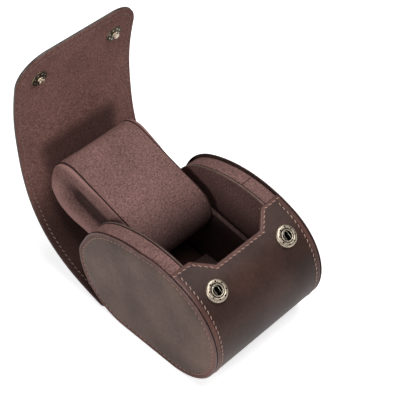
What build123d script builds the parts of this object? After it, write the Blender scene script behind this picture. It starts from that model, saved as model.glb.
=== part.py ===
from build123d import *
import math
import os

# Travel case for one watch: a stitched leather body between two round ends, a leather flap that
# closes over it with two snaps, and a loose suede pillow that the watch is strapped round.
# X runs from the left end to the right end, +Y is the back, where the flap starts, and +Z is up.
# The origin is the middle of the base, on the surface that the case stands on.
# Lengths are millimetres. A heading is the direction of an outline in the YZ plane, in degrees
# from +Y towards +Z, as the outline runs from the base up the back and over the top.

# Outline of the round ends: a flat base, then three tangent arcs on the front and on the back
half_width = 40.0
flat_half = 18.5
corner_radius, corner_turn = 32.0, 58.6
side_radius, side_turn = 36.0, 97.2

# Round ends, from the outside in
disc_thickness = 1.7
disc_edge_round = 0.45
collar_step = 1.8
collar_thickness = 1.2
inner_panel_thickness = 1.4
inner_face = 29.0

# Body strip: outer leather, board and suede lining
leather_thickness = 1.4
board_thickness = 0.8
lining_thickness = 1.0
strip_side_gap = 0.1
front_edge = 17.7
notch_top_half, notch_top_y = 26.0, -18.0
notch_base_half, notch_base_y = 16.0, -27.0

# Cradle inside the body
cradle_half = 24.5
cradle_wall_thickness = 2.5
cradle_gap = 0.1
floor_top = 7.4
floor_front, floor_back = -30.0, 19.0
ridge_front = (-46.0, 34.0)
ridge_back = (30.0, 46.4)

# Flap: arcs of its outer face from the fold line to the end, as lengths and turns
flap_half = 40.1
flap_narrow_half = 38.0
flap_lining_half = 28.6
fold_y = 20.0
fold_heading = 3.0
flap_lengths = (20.0, 19.0, 19.0, 19.0, 19.0, 19.0, 19.0, 19.0, 35.5)
flap_turns = (12.0, 9.0, 17.0, 20.0, 16.0, 9.0, 4.0, 9.0, 12.0)
flap_joint_gap = 0.3
flap_corner_radius = 18.0

# Snaps
snap_x = 25.5
socket_heading = 143.9
socket_radius = 6.1
socket_height = 2.3
socket_seat = 0.55
socket_bore = 2.4
groove_radius = 3.05
groove_base, groove_top = 1.1, 1.8
spring_height = 1.45
spring_wire = 0.5
spring_half_gap = 1.45
spring_reach = 2.2
post_radius = 1.9
post_flange_radius, post_flange_thickness = 3.2, 0.6
post_flange_gap = 0.25
stud_from_joint = 17.0
stud_flange_radius, stud_flange_thickness = 5.0, 0.6
stud_seat = 0.12
stud_neck_radius, stud_neck_end = 1.1, 1.9
stud_ball_radius, stud_tip = 1.8, 2.85
rivet_radius = 1.0
cap_radius, cap_height = 5.4, 1.7

# Pillow, as it leans out of the open case
pillow_centre = (51.8, 45.8)
pillow_tilt = 18.0
pillow_length, pillow_depth = 75.2, 40.2
pillow_half = 24.0
pillow_top_corner, pillow_low_corner = 14.5, 25.5
pillow_crown = 0.7
pillow_cover = 1.2
panel_depth = 3.2
channel_length, channel_width = 44.0, 9.0
channel_sink, channel_slope = 1.6, 40.0


def heading_point(centre, radius, heading):
    """Point where a circle, run anticlockwise, has this heading."""
    turn = math.radians(heading)
    return (centre[0] + radius * math.sin(turn), centre[1] - radius * math.cos(turn))


def centre_left(point, radius, heading):
    """Centre of the arc of this radius that starts at point with this heading and bends left."""
    turn = math.radians(heading)
    return (point[0] - radius * math.sin(turn), point[1] + radius * math.cos(turn))


# The three arcs of the rear half of the outline
corner_centre = (flat_half, corner_radius)
side_start = heading_point(corner_centre, corner_radius, corner_turn)
side_centre = centre_left(side_start, side_radius, corner_turn)
top_heading = corner_turn + side_turn
top_start = heading_point(side_centre, side_radius, top_heading)
top_radius = top_start[0] / math.sin(math.radians(top_heading))
top_centre = centre_left(top_start, top_radius, top_heading)

board_inner = collar_step + board_thickness
lining_inner = board_inner + lining_thickness
front_heading = 180 - math.degrees(math.asin(front_edge / top_radius))
fold_strip_heading = math.degrees(math.asin((fold_y - flat_half) / corner_radius))
flap_thickness = leather_thickness + lining_thickness


def outline_point(heading, inset, side=1):
    """Point of the rear (side 1) or front (side -1) outline, drawn in by inset."""
    if heading <= corner_turn:
        centre, radius = corner_centre, corner_radius
    elif heading <= top_heading:
        centre, radius = side_centre, side_radius
    else:
        centre, radius = top_centre, top_radius
    y, z = heading_point(centre, radius - inset, heading)
    return (side * y, z)


def outline_run(first, last, inset, side=1):
    """Draw the outline's arcs between two headings, on the rear or the front half."""
    low, high = min(first, last), max(first, last)
    joints = [heading for heading in (corner_turn, top_heading) if low < heading < high]
    stops = sorted([first, *joints, last], reverse=first > last)
    for start, end in zip(stops, stops[1:]):
        middle = (start + end) / 2
        ThreePointArc(
            outline_point(start, inset, side),
            outline_point(middle, inset, side),
            outline_point(end, inset, side),
        )


def whole_outline(inset):
    """Draw the closed outline of a round end, drawn in by inset."""
    outline_run(0, 180, inset)
    outline_run(180, 0, inset, -1)
    Line(outline_point(0, inset, -1), outline_point(0, inset))


def strip_outline(outer, inner):
    """Draw the section of one layer of the body strip, between two insets."""
    outline_run(front_heading, 0, outer, -1)
    Line(outline_point(0, outer, -1), outline_point(0, outer))
    outline_run(0, fold_strip_heading, outer)
    Line(outline_point(fold_strip_heading, outer), outline_point(fold_strip_heading, inner))
    outline_run(fold_strip_heading, 0, inner)
    Line(outline_point(0, inner), outline_point(0, inner, -1))
    outline_run(0, front_heading, inner, -1)
    Line(outline_point(front_heading, inner, -1), outline_point(front_heading, outer, -1))


def end_slab(start, thickness, outer, inner=None):
    """Add a slab with the outline of a round end, or a ring of it, from X = start outwards."""
    with BuildSketch(Plane.YZ.offset(start)) as profile:
        with BuildLine():
            whole_outline(outer)
        make_face()
        if inner is not None:
            with BuildLine():
                whole_outline(inner)
            make_face(mode=Mode.SUBTRACT)
    extrude(profile.sketch, amount=thickness)


def finger_notch():
    """Cut the notch in the front edge of the body strip."""
    clear = 6.0
    with BuildSketch(Plane.XY.offset(outline_point(front_heading, 0)[1] - 2 * clear)) as notch:
        with BuildLine():
            Polyline(
                (-notch_top_half, notch_top_y + clear),
                (-notch_top_half, notch_top_y),
                (-notch_base_half, notch_base_y),
                (notch_base_half, notch_base_y),
                (notch_top_half, notch_top_y),
                (notch_top_half, notch_top_y + clear),
                close=True,
            )
        make_face()
    extrude(notch.sketch, amount=3 * clear, mode=Mode.SUBTRACT)


def socket_plane(side):
    """Plane on the outside of the front panel at a snap, facing out."""
    y, z = outline_point(socket_heading, 0, -1)
    turn = math.radians(socket_heading)
    return Plane(origin=(side * snap_x, y, z), x_dir=(1, 0, 0), z_dir=(0, -math.sin(turn), -math.cos(turn)))


def snap_holes(radius, depth):
    """Sink a round hole at each snap of the body strip, from well outside down to this depth."""
    for side in (-1, 1):
        with BuildSketch(socket_plane(side).offset(-depth)) as hole:
            Circle(radius)
        extrude(hole.sketch, amount=depth + socket_height, mode=Mode.SUBTRACT)


def strip_layer(half, outer, inner):
    """Add one layer of the body strip and cut its notch and its snap holes."""
    with BuildSketch(Plane.YZ.offset(-half)) as section:
        with BuildLine():
            strip_outline(outer, inner)
        make_face()
    extrude(section.sketch, amount=2 * half)
    finger_notch()
    snap_holes(post_radius, lining_inner + 1)


os.makedirs("parts", exist_ok=True)


def save(part, label):
    """Name a finished piece and write it."""
    part.label = label
    export_step(part, f"parts/{label}.step")


# Round ends: leather disc, fibreboard core, suede collar round the core, suede inner panel
collar_length = half_width - disc_thickness - inner_face - inner_panel_thickness
core_start = inner_face + inner_panel_thickness
for end_name, end_sign in (("left", -1), ("right", 1)):
    with BuildPart() as end_disc:
        end_slab(end_sign * (half_width - disc_thickness), end_sign * disc_thickness, 0)
        outer_face = end_disc.faces().filter_by(Axis.X).sort_by(Axis.X)[0 if end_sign < 0 else -1]
        fillet(outer_face.edges(), radius=disc_edge_round)
    save(end_disc.part, f"{end_name}_end_disc")

    with BuildPart() as end_core:
        end_slab(end_sign * core_start, end_sign * collar_length, collar_step + collar_thickness)
    save(end_core.part, f"{end_name}_end_core")

    with BuildPart() as collar:
        end_slab(
            end_sign * core_start, end_sign * collar_length, collar_step, collar_step + collar_thickness
        )
    save(collar.part, f"{end_name}_collar")

    with BuildPart() as inner_panel:
        end_slab(end_sign * inner_face, end_sign * inner_panel_thickness, collar_step)
    save(inner_panel.part, f"{end_name}_inner_panel")

# Body strip: the front panel and the base in one, in three layers
strip_half = half_width - disc_thickness - strip_side_gap
layer_half = inner_face - strip_side_gap
with BuildPart() as body_leather:
    strip_layer(strip_half, 0, leather_thickness)
    snap_holes(socket_radius, socket_seat)
save(body_leather.part, "body_leather")

with BuildPart() as body_board:
    strip_layer(layer_half, collar_step, board_inner)
save(body_board.part, "body_board")

with BuildPart() as body_lining:
    strip_layer(layer_half, board_inner, lining_inner)
save(body_lining.part, "body_lining")

# Cradle: a padded floor on the lining and an upright wall each side, lower towards the front
with BuildPart() as cradle_floor:
    with BuildSketch(Plane.YZ.offset(-cradle_half + cradle_gap)):
        with BuildLine():
            whole_outline(lining_inner)
        make_face()
        with Locations(((floor_front + floor_back) / 2, floor_top / 2)):
            Rectangle(floor_back - floor_front, floor_top, mode=Mode.INTERSECT)
    extrude(amount=2 * (cradle_half - cradle_gap))
save(cradle_floor.part, "cradle_floor")

wall_inset = lining_inner + cradle_gap
for wall_name, wall_start in (("left", -cradle_half - cradle_wall_thickness), ("right", cradle_half)):
    with BuildPart() as cradle_wall:
        with BuildSketch(Plane.YZ.offset(wall_start)):
            with BuildLine():
                whole_outline(wall_inset)
            make_face()
            with BuildLine():
                Polyline(
                    (-side_radius * 2, -1),
                    (side_radius * 2, -1),
                    (side_radius * 2, ridge_back[1]),
                    ridge_back,
                    ridge_front,
                    (-side_radius * 2, ridge_front[1]),
                    close=True,
                )
            make_face(mode=Mode.INTERSECT)
        extrude(amount=cradle_wall_thickness)
    save(cradle_wall.part, f"cradle_{wall_name}_wall")


def flap_starts():
    """Start point and heading of each arc of the flap's outer face."""
    point, heading = outline_point(fold_strip_heading, 0), fold_heading
    starts = []
    for length, turn in zip(flap_lengths, flap_turns):
        starts.append((point, heading))
        radius = length / math.radians(turn)
        point = heading_point(centre_left(point, radius, heading), radius, heading + turn)
        heading += turn
    return starts


def flap_arc(index):
    """Centre, radius, first heading and headings per millimetre of one arc of the flap."""
    point, heading = flap_starts()[index]
    radius = flap_lengths[index] / math.radians(flap_turns[index])
    return centre_left(point, radius, heading), radius, heading, flap_turns[index] / flap_lengths[index]


def flap_layer(index, half, outer, inner):
    """Add one layer of one flap segment, between two depths below its outer face."""
    centre, radius, heading, rate = flap_arc(index)
    last_gap = flap_joint_gap / 2 if index < len(flap_lengths) - 1 else 0
    first = heading + rate * flap_joint_gap / 2
    last = heading + rate * (flap_lengths[index] - last_gap)
    corners = [heading_point(centre, radius - depth, turn) for depth, turn in (
        (outer, first), (outer, (first + last) / 2), (outer, last),
        (inner, last), (inner, (first + last) / 2), (inner, first),
    )]
    with BuildSketch(Plane.YZ.offset(-half)) as section:
        with BuildLine():
            ThreePointArc(*corners[:3])
            Line(corners[2], corners[3])
            ThreePointArc(*corners[3:])
            Line(corners[5], corners[0])
        make_face()
    extrude(section.sketch, amount=2 * half)


def round_flap_end(part, thickness):
    """Round the two corners at the free end of the flap."""
    across = part.edges().filter_by(lambda edge: abs(edge.length - thickness) < thickness / 10)
    fillet(across.sort_by(Axis.Z)[-2:], radius=flap_corner_radius)


def stud_plane(side):
    """Plane on the inside of the flap at a stud, facing the case."""
    centre, radius, heading, rate = flap_arc(len(flap_lengths) - 1)
    at = heading + rate * stud_from_joint
    y, z = heading_point(centre, radius - flap_thickness, at)
    turn = math.radians(at)
    return Plane(origin=(side * snap_x, y, z), x_dir=(1, 0, 0), z_dir=(0, -math.sin(turn), math.cos(turn)))


def flap_holes(radius, depth):
    """Sink a round hole at each stud of the flap, from the inside down to this depth."""
    for side in (-1, 1):
        with BuildSketch(stud_plane(side).offset(-depth)) as hole:
            Circle(radius)
        extrude(hole.sketch, amount=depth + 1, mode=Mode.SUBTRACT)


# Flap: leather outside and suede inside, in segments that bend at the joints between them
tab_index = len(flap_lengths) - 1
for index in range(len(flap_lengths)):
    narrow = index == 0
    with BuildPart() as flap_leather:
        flap_layer(index, flap_narrow_half if narrow else flap_half, 0, leather_thickness)
        if index == tab_index:
            round_flap_end(flap_leather, leather_thickness)
            flap_holes(rivet_radius, flap_thickness + 1)
    save(flap_leather.part, f"flap_leather_{index + 1}")

    with BuildPart() as flap_lining:
        flap_layer(index, flap_lining_half if narrow else flap_half, leather_thickness, flap_thickness)
        if index == tab_index:
            round_flap_end(flap_lining, lining_thickness)
            flap_holes(rivet_radius, flap_thickness + 1)
            flap_holes(stud_flange_radius, stud_seat)
    save(flap_lining.part, f"flap_lining_{index + 1}")


def turned(plane, points):
    """Add a piece turned about the plane's normal from points given as (radius, height)."""
    axis_plane = Plane(origin=plane.origin, x_dir=plane.x_dir, z_dir=-plane.y_dir)
    with BuildSketch(axis_plane) as profile:
        with BuildLine():
            Polyline(*points, close=True)
        make_face()
    revolve(profile.sketch, axis=Axis(plane.origin, plane.z_dir))


# Snaps: a spring socket on the front panel and a stud on the flap, on each side
for snap_name, snap_sign in (("left", -1), ("right", 1)):
    seat = socket_plane(snap_sign)
    with BuildPart() as socket:
        turned(seat, [
            (socket_bore, -socket_seat),
            (socket_radius, -socket_seat),
            (socket_radius, socket_height - 1.1),
            (socket_radius - 0.5, socket_height - 0.5),
            (socket_radius - 1.4, socket_height - 0.3),
            (socket_bore + 1.3, socket_height - 0.3),
            (socket_bore + 0.9, socket_height),
            (socket_bore + 0.3, socket_height),
            (socket_bore, socket_height - 0.3),
            (socket_bore, groove_top),
            (groove_radius, groove_top),
            (groove_radius, groove_base),
            (socket_bore, groove_base),
        ])
    save(socket.part, f"{snap_name}_socket")

    with BuildPart() as spring:
        spring_plane = seat.offset(spring_height)
        bend_start = spring_reach - spring_half_gap + spring_wire / 2
        with BuildLine(spring_plane) as spring_line:
            Line((-spring_half_gap, -spring_reach), (-spring_half_gap, bend_start))
            ThreePointArc(
                (-spring_half_gap, bend_start), (0, bend_start + spring_half_gap), (spring_half_gap, bend_start)
            )
            Line((spring_half_gap, bend_start), (spring_half_gap, -spring_reach))
        with BuildSketch(Plane(spring_line.line @ 0, z_dir=spring_line.line % 0)):
            Circle(spring_wire / 2)
        sweep(path=spring_line.line)
    save(spring.part, f"{snap_name}_socket_spring")

    with BuildPart() as post:
        lining_face = lining_inner + post_flange_gap
        turned(seat, [
            (0, -lining_face - post_flange_thickness),
            (post_flange_radius, -lining_face - post_flange_thickness),
            (post_flange_radius, -lining_face),
            (post_radius, -lining_face),
            (post_radius, -socket_seat),
            (socket_bore - 0.05, -socket_seat),
            (socket_bore - 0.05, -socket_seat / 2),
            (0, -socket_seat / 2),
        ])
    save(post.part, f"{snap_name}_socket_post")

    inside = stud_plane(snap_sign)
    with BuildPart() as stud:
        turned(inside, [
            (0, -stud_seat),
            (stud_flange_radius, -stud_seat),
            (stud_flange_radius, stud_flange_thickness / 2),
            (stud_flange_radius - 0.5, stud_flange_thickness),
            (stud_neck_radius, stud_flange_thickness),
            (stud_neck_radius, stud_neck_end),
            (stud_ball_radius, stud_neck_end + 0.35),
            (stud_ball_radius - 0.5, stud_tip - 0.1),
            (stud_ball_radius - 1.1, stud_tip),
            (0, stud_tip),
        ])
    save(stud.part, f"{snap_name}_stud")

    with BuildPart() as cap:
        turned(inside, [
            (0, -stud_seat),
            (rivet_radius, -stud_seat),
            (rivet_radius, -flap_thickness),
            (cap_radius, -flap_thickness),
            (cap_radius, -flap_thickness - cap_height / 3),
            (cap_radius - 0.8, -flap_thickness - cap_height * 0.7),
            (cap_radius - 2.4, -flap_thickness - cap_height * 0.93),
            (0, -flap_thickness - cap_height),
        ])
    save(cap.part, f"{snap_name}_stud_cap")


# Pillow: a suede band round a foam block, with a padded panel at each end
pillow_turn = math.radians(pillow_tilt)
pillow_plane = Plane(
    origin=(0, *pillow_centre),
    x_dir=(0, math.cos(pillow_turn), math.sin(pillow_turn)),
    z_dir=(1, 0, 0),
)


def pillow_block(inset, mode=Mode.ADD):
    """Add the pillow's crowned block, drawn in by inset, or take it away."""
    sections = []
    for offset, grow in ((-pillow_half, -inset), (0, pillow_crown - inset), (pillow_half, -inset)):
        with BuildSketch(pillow_plane.offset(offset)) as section:
            Rectangle(pillow_length + 2 * grow, pillow_depth + 2 * grow)
            fillet(section.vertices().group_by(Axis.Y)[0], radius=pillow_low_corner + grow)
            fillet(section.vertices().group_by(Axis.Y)[-1], radius=pillow_top_corner + grow)
        sections.append(section.sketch)
    loft(sections, mode=mode)


with BuildPart() as pillow_band:
    pillow_block(0)
    pillow_block(pillow_cover, Mode.SUBTRACT)
save(pillow_band.part, "pillow_band")

with BuildPart() as pillow_foam:
    pillow_block(pillow_cover)
    for offset in (-pillow_half, pillow_half - panel_depth):
        with BuildSketch(pillow_plane.offset(offset)):
            Rectangle(pillow_length, pillow_depth)
        extrude(amount=panel_depth, mode=Mode.SUBTRACT)
save(pillow_foam.part, "pillow_foam")

for panel_name, panel_sign in (("left", -1), ("right", 1)):
    with BuildPart() as end_panel:
        pillow_block(pillow_cover)
        with BuildSketch(pillow_plane.offset(panel_sign * (pillow_half - panel_depth))):
            Rectangle(pillow_length, pillow_depth)
        extrude(amount=-panel_sign * 2 * pillow_half, mode=Mode.SUBTRACT)
        with BuildSketch(pillow_plane.offset(panel_sign * pillow_half)):
            SlotOverall(channel_length, channel_width)
        extrude(amount=-panel_sign * channel_sink, taper=channel_slope, mode=Mode.SUBTRACT)
    save(end_panel.part, f"pillow_{panel_name}_panel")
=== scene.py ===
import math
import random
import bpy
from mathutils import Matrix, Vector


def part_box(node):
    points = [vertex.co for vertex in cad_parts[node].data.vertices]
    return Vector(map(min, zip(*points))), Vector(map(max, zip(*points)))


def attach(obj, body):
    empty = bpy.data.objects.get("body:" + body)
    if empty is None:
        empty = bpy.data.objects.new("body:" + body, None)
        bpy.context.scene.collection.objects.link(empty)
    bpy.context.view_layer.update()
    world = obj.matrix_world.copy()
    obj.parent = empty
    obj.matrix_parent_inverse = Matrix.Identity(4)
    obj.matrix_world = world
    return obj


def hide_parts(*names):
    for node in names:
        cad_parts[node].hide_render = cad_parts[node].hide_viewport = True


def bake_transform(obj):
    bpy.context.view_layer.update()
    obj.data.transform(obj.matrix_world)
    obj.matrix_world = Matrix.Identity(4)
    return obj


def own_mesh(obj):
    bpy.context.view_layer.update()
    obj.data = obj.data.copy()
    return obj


bl_info = {
    "name": "Watch travel case",
    "version": (1, 0, 0),
    "blender": (4, 5, 0),
    "location": "3D View > Sidebar > Case",
    "description": "Dresses the packed watch travel case in leather, suede, thread and metal",
    "category": "Object",
}

import bpy
import numpy as np
from mathutils import Matrix, Vector, geometry, noise

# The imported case. X runs from the left end to the right one, +Y is the back and +Z is up, in metres.
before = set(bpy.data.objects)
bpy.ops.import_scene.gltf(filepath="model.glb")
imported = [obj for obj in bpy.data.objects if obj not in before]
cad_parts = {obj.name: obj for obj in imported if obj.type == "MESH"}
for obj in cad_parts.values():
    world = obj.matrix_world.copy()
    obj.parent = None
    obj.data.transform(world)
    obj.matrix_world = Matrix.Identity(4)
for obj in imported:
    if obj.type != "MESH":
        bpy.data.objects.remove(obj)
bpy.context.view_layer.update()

# Outline of the round ends: a flat base and three tangent arcs on the front and on the back
DISC_INNER, HALF_WIDTH = (corner.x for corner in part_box("right_end_disc"))
FLAT_HALF = 0.0185
CORNER_RADIUS, CORNER_TURN = 0.032, 58.6
SIDE_RADIUS, SIDE_TURN = 0.036, 97.2
OUTLINE_STEP = 0.0016

# Round ends: the collar lies this far inside the outline, and its suede laps this far over the board's edge
COLLAR_STEP = 0.0018
COLLAR_LAP = 0.0008
DISC_BACK = DISC_INNER + COLLAR_LAP
PANEL_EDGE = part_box("right_inner_panel")[1].x

# The left disc is drawn in along its top and back, towards a point on the case's middle line.
# Each ramp is where that starts and how far on it is whole.
DRAWN_IN = 0.0019
DRAWN_TO_Z = 0.037
DRAWN_RAMP_Y, DRAWN_RAMP_Z = (-0.012, 0.018), (0.036, 0.014)

# Body strip, drawn flat: across the case, and from the front edge down the front and under the base
STRIP_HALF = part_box("body_leather")[1].x
STRIP_GAP = 0.0001
STRIP_EDGE = STRIP_HALF + COLLAR_LAP - STRIP_GAP
DRAWING_STEP = 0.0022
FRONT_EDGE_Y = -0.0177
NOTCH_TOP, NOTCH_BASE = (0.026, -0.018), (0.016, -0.027)
FOLD_Y = 0.020

# Flap, drawn flat: across the case, and from the fold to the free end
FLAP_DEPTH = 0.0024
FLAP_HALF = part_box("flap_leather_9")[1].x
FLAP_NARROW_HALF = 0.0380
FLAP_WIDEN = (0.0125, 0.0165)
FOLD_HEADING = 3.0
FLAP_LENGTHS = (0.020, 0.019, 0.019, 0.019, 0.019, 0.019, 0.019, 0.019, 0.0355)
FLAP_TURNS = (12.0, 9.0, 17.0, 20.0, 16.0, 9.0, 4.0, 9.0, 12.0)
FLAP_CORNER, FLAP_CORNER_POINTS = 0.018, 13
FLAP_EDGE_STEP = 0.001
FLAP_BODIES = ["case", *(f"flap_{number}" for number in range(2, 9)), "flap_tab"]

# Painted shade on the flap's suede: dark towards the fold, a painted shadow around the pillow, and dark along
# its cut edge
FOLD_SHADE_END, FOLD_SHADE_RUN, FOLD_SHADE_DEPTH = 0.124, 0.062, 0.90
PILLOW_SHADOW_HALF, PILLOW_SHADOW_END, PILLOW_SHADOW_RUN, PILLOW_SHADOW_DEPTH = 0.0215, 0.114, 0.011, 0.70
PILLOW_SHADOW_START, PILLOW_SHADOW_START_RUN = 0.05, 0.03
RIM_SHADE, RIM_SHADE_RUN = 0.55, 0.0011

# Snaps
SNAP_X = 0.0255
SOCKET_HEADING = 143.9
STUD_FROM_JOINT = 0.017

# Pillow, as it leans out of the open case
PILLOW_CENTRE = Vector((0, 0.0518, 0.0458))
PILLOW_TILT = 18.0
PILLOW_LENGTH, PILLOW_DEPTH = 0.0752, 0.0402
PILLOW_TOP_CORNER, PILLOW_LOW_CORNER, PILLOW_CORNER_POINTS = 0.0145, 0.0255, 41
CHANNEL_LENGTH, CHANNEL_WIDTH = 0.044, 0.009

# A stitch's rings: each one's place along it, and its girth and lift, as shares of its length and width
STITCH_RINGS = (
    (-0.5, 0.25, -0.6), (-0.42, 0.8, -0.1), (-0.15, 1.0, 0.25),
    (0.15, 1.0, 0.25), (0.42, 0.8, -0.1), (0.5, 0.25, -0.6),
)
STITCH_SIDES = 8
STITCH_FLATNESS = 0.42
STITCH_WANDER = 2.0

SIDES = (("left", -1), ("right", 1))
FACE, EDGE, BACK, MARGIN = range(4)


# Lines and surfaces of the case

def eased(share):
    """A share, kept from 0 to 1 and eased at both ends."""
    share = np.clip(share, 0.0, 1.0)
    return share * share * (3 - 2 * share)


def between(pair, share):
    """The value this share of the way from the first of a pair to the second."""
    return pair[0] + (pair[1] - pair[0]) * share


def angles(count):
    """Even angles round a full turn."""
    return [math.tau * i / count for i in range(count)]


def circle(radius, height, count):
    """Even points of a level circle round Z."""
    return [(radius * math.cos(a), radius * math.sin(a), height) for a in angles(count)]


def heading_point(centre, radius, heading):
    """Point (y, z) where a circle, run anticlockwise, has this heading."""
    turn = math.radians(heading)
    return (centre[0] + radius * math.sin(turn), centre[1] - radius * math.cos(turn))


def centre_left(point, radius, heading):
    """Centre of the arc of this radius that starts at point with this heading and bends left."""
    turn = math.radians(heading)
    return (point[0] - radius * math.sin(turn), point[1] + radius * math.cos(turn))


CORNER_CENTRE = (FLAT_HALF, CORNER_RADIUS)
SIDE_CENTRE = centre_left(
    heading_point(CORNER_CENTRE, CORNER_RADIUS, CORNER_TURN), SIDE_RADIUS, CORNER_TURN
)
TOP_HEADING = CORNER_TURN + SIDE_TURN
TOP_START = heading_point(SIDE_CENTRE, SIDE_RADIUS, TOP_HEADING)
TOP_RADIUS = TOP_START[0] / math.sin(math.radians(TOP_HEADING))
TOP_CENTRE = centre_left(TOP_START, TOP_RADIUS, TOP_HEADING)


def outline_arc(heading):
    """Centre and radius of the outline's arc at this heading."""
    if heading <= CORNER_TURN:
        return CORNER_CENTRE, CORNER_RADIUS
    if heading <= TOP_HEADING:
        return SIDE_CENTRE, SIDE_RADIUS
    return TOP_CENTRE, TOP_RADIUS


def outline_point(heading, inset, side=1):
    """Point (y, z) of the rear (side 1) or front (side -1) outline, drawn in by inset."""
    centre, radius = outline_arc(heading)
    y, z = heading_point(centre, radius - inset, heading)
    return (side * y, z)


def outline_loop(inset, step=OUTLINE_STEP):
    """The closed outline of a round end, drawn in by inset, as points (y, z)."""
    headings = []
    for low, high, radius in (
        (0, CORNER_TURN, CORNER_RADIUS),
        (CORNER_TURN, TOP_HEADING, SIDE_RADIUS),
        (TOP_HEADING, 180, TOP_RADIUS),
    ):
        count = max(2, round(radius * math.radians(high - low) / step))
        headings += [low + (high - low) * i / count for i in range(count)]
    base = max(2, round(2 * FLAT_HALF / step))
    points = [(-FLAT_HALF + 2 * FLAT_HALF * i / base, inset) for i in range(1, base)]
    points += [outline_point(h, inset) for h in headings]
    points.append(outline_point(180, inset))
    points += [outline_point(h, inset, -1) for h in reversed(headings)]
    return points


def disc_loop(inset, side, step=OUTLINE_STEP):
    """The outline of a leather disc: the left one is drawn in along its top and back."""
    if side > 0:
        return outline_loop(inset, step)
    loop = []
    (start_y, run_y), (start_z, run_z) = DRAWN_RAMP_Y, DRAWN_RAMP_Z
    for y, z in outline_loop(inset, step):
        height = z - DRAWN_TO_Z
        share = DRAWN_IN * eased((y - start_y) / run_y) * eased((z - start_z) / run_z) / math.hypot(y, height)
        loop.append((y * (1 - share), z - height * share))
    return loop


FRONT_HEADING = 180 - math.degrees(math.asin(-FRONT_EDGE_Y / TOP_RADIUS))
FOLD_STRIP_HEADING = math.degrees(math.asin((FOLD_Y - FLAT_HALF) / CORNER_RADIUS))


def strip_station(distance):
    """Point (y, z) and outward normal of the strip, at this distance down from its front edge."""
    left, heading = distance, FRONT_HEADING
    for low, radius in ((TOP_HEADING, TOP_RADIUS), (CORNER_TURN, SIDE_RADIUS), (0, CORNER_RADIUS)):
        run = radius * math.radians(heading - low)
        if left <= run or (low == TOP_HEADING and left < 0):
            heading -= math.degrees(left / radius)
            turn = math.radians(heading)
            return outline_point(heading, 0, -1), (-math.sin(turn), -math.cos(turn))
        left, heading = left - run, low
    if left <= 2 * FLAT_HALF:
        return (-FLAT_HALF + left, 0), (0, -1)
    heading = math.degrees((left - 2 * FLAT_HALF) / CORNER_RADIUS)
    turn = math.radians(heading)
    return outline_point(heading, 0), (math.sin(turn), -math.cos(turn))


STRIP_LENGTH = (
    TOP_RADIUS * math.radians(FRONT_HEADING - TOP_HEADING)
    + SIDE_RADIUS * math.radians(SIDE_TURN)
    + CORNER_RADIUS * math.radians(CORNER_TURN + FOLD_STRIP_HEADING)
    + 2 * FLAT_HALF
)


def place_on_strip(across, along, depth):
    """A point drawn on the flat strip, at this depth below its leather face, on the case."""
    (y, z), (normal_y, normal_z) = strip_station(along)
    return Vector((across, y - depth * normal_y, z - depth * normal_z))


def flap_arcs():
    """Start, heading, radius and turn per metre of each arc of the flap's leather face."""
    point, heading, arcs = outline_point(FOLD_STRIP_HEADING, 0), FOLD_HEADING, []
    for length, turn in zip(FLAP_LENGTHS, FLAP_TURNS):
        radius = length / math.radians(turn)
        centre = centre_left(point, radius, heading)
        arcs.append((centre, radius, heading, turn / length))
        heading += turn
        point = heading_point(centre, radius, heading)
    return arcs


FLAP_ARCS = flap_arcs()
FLAP_JOINTS = [sum(FLAP_LENGTHS[:index]) for index in range(len(FLAP_LENGTHS) + 1)]
FLAP_LENGTH = FLAP_JOINTS[-1]


def place_on_flap(across, along, depth):
    """A point drawn on the flat flap, at this depth below its leather face, on the open flap."""
    index = max(i for i in range(len(FLAP_ARCS)) if i == 0 or FLAP_JOINTS[i] <= along)
    centre, radius, heading, rate = FLAP_ARCS[index]
    y, z = heading_point(centre, radius - depth, heading + rate * (along - FLAP_JOINTS[index]))
    return Vector((across, y, z))


def snap_frame(origin, inward):
    """Matrix that stands a turned part on origin, with its Z along the given direction."""
    side = Vector((1, 0, 0))
    return Matrix.Translation(origin) @ Matrix((side, inward.cross(side), inward)).transposed().to_4x4()


def socket_frame(side):
    """Where a socket stands on the front panel."""
    y, z = outline_point(SOCKET_HEADING, 0, -1)
    turn = math.radians(SOCKET_HEADING)
    return snap_frame(Vector((side * SNAP_X, y, z)), Vector((0, -math.sin(turn), -math.cos(turn))))


def stud_frame(side, depth=FLAP_DEPTH):
    """Where a stud stands on the inside of the flap."""
    along = FLAP_JOINTS[-2] + STUD_FROM_JOINT
    here = place_on_flap(side * SNAP_X, along, depth)
    return snap_frame(here, (here - place_on_flap(side * SNAP_X, along, 0)).normalized())


# Meshes

def new_piece(name, points, faces, materials, face_materials=None, flat=False):
    """Make a mesh object from points and faces, with one material index for each face."""
    mesh = bpy.data.meshes.new(name)
    mesh.from_pydata([tuple(p) for p in points], [], faces)
    for material in materials:
        mesh.materials.append(material)
    if face_materials is not None:
        mesh.polygons.foreach_set("material_index", face_materials)
    mesh.polygons.foreach_set("use_smooth", [not flat] * len(faces))
    mesh.validate()
    mesh.update()
    piece = bpy.data.objects.new(name, mesh)
    bpy.context.scene.collection.objects.link(piece)
    return piece


def loft(loops, closed_ends=(True, True), flip=False):
    """Faces between loops of equal length, each closed, with the first and last loop filled."""
    count = len(loops[0])
    points = [p for loop in loops for p in loop]
    faces = []
    for row in range(len(loops) - 1):
        for i in range(count):
            j = (i + 1) % count
            quad = (row * count + i, row * count + j, (row + 1) * count + j, (row + 1) * count + i)
            faces.append(quad[::-1] if flip else quad)
    ends = []
    if closed_ends[0]:
        ends.append(tuple(range(count))[::1 if flip else -1])
    if closed_ends[1]:
        ends.append(tuple((len(loops) - 1) * count + i for i in range(count))[::-1 if flip else 1])
    return points, faces + ends, count


def join(points, faces, more_points, more_faces):
    """Add a second mesh's points and faces to the first one's."""
    faces += [tuple(i + len(points) for i in face) for face in more_faces]
    points += more_points


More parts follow.
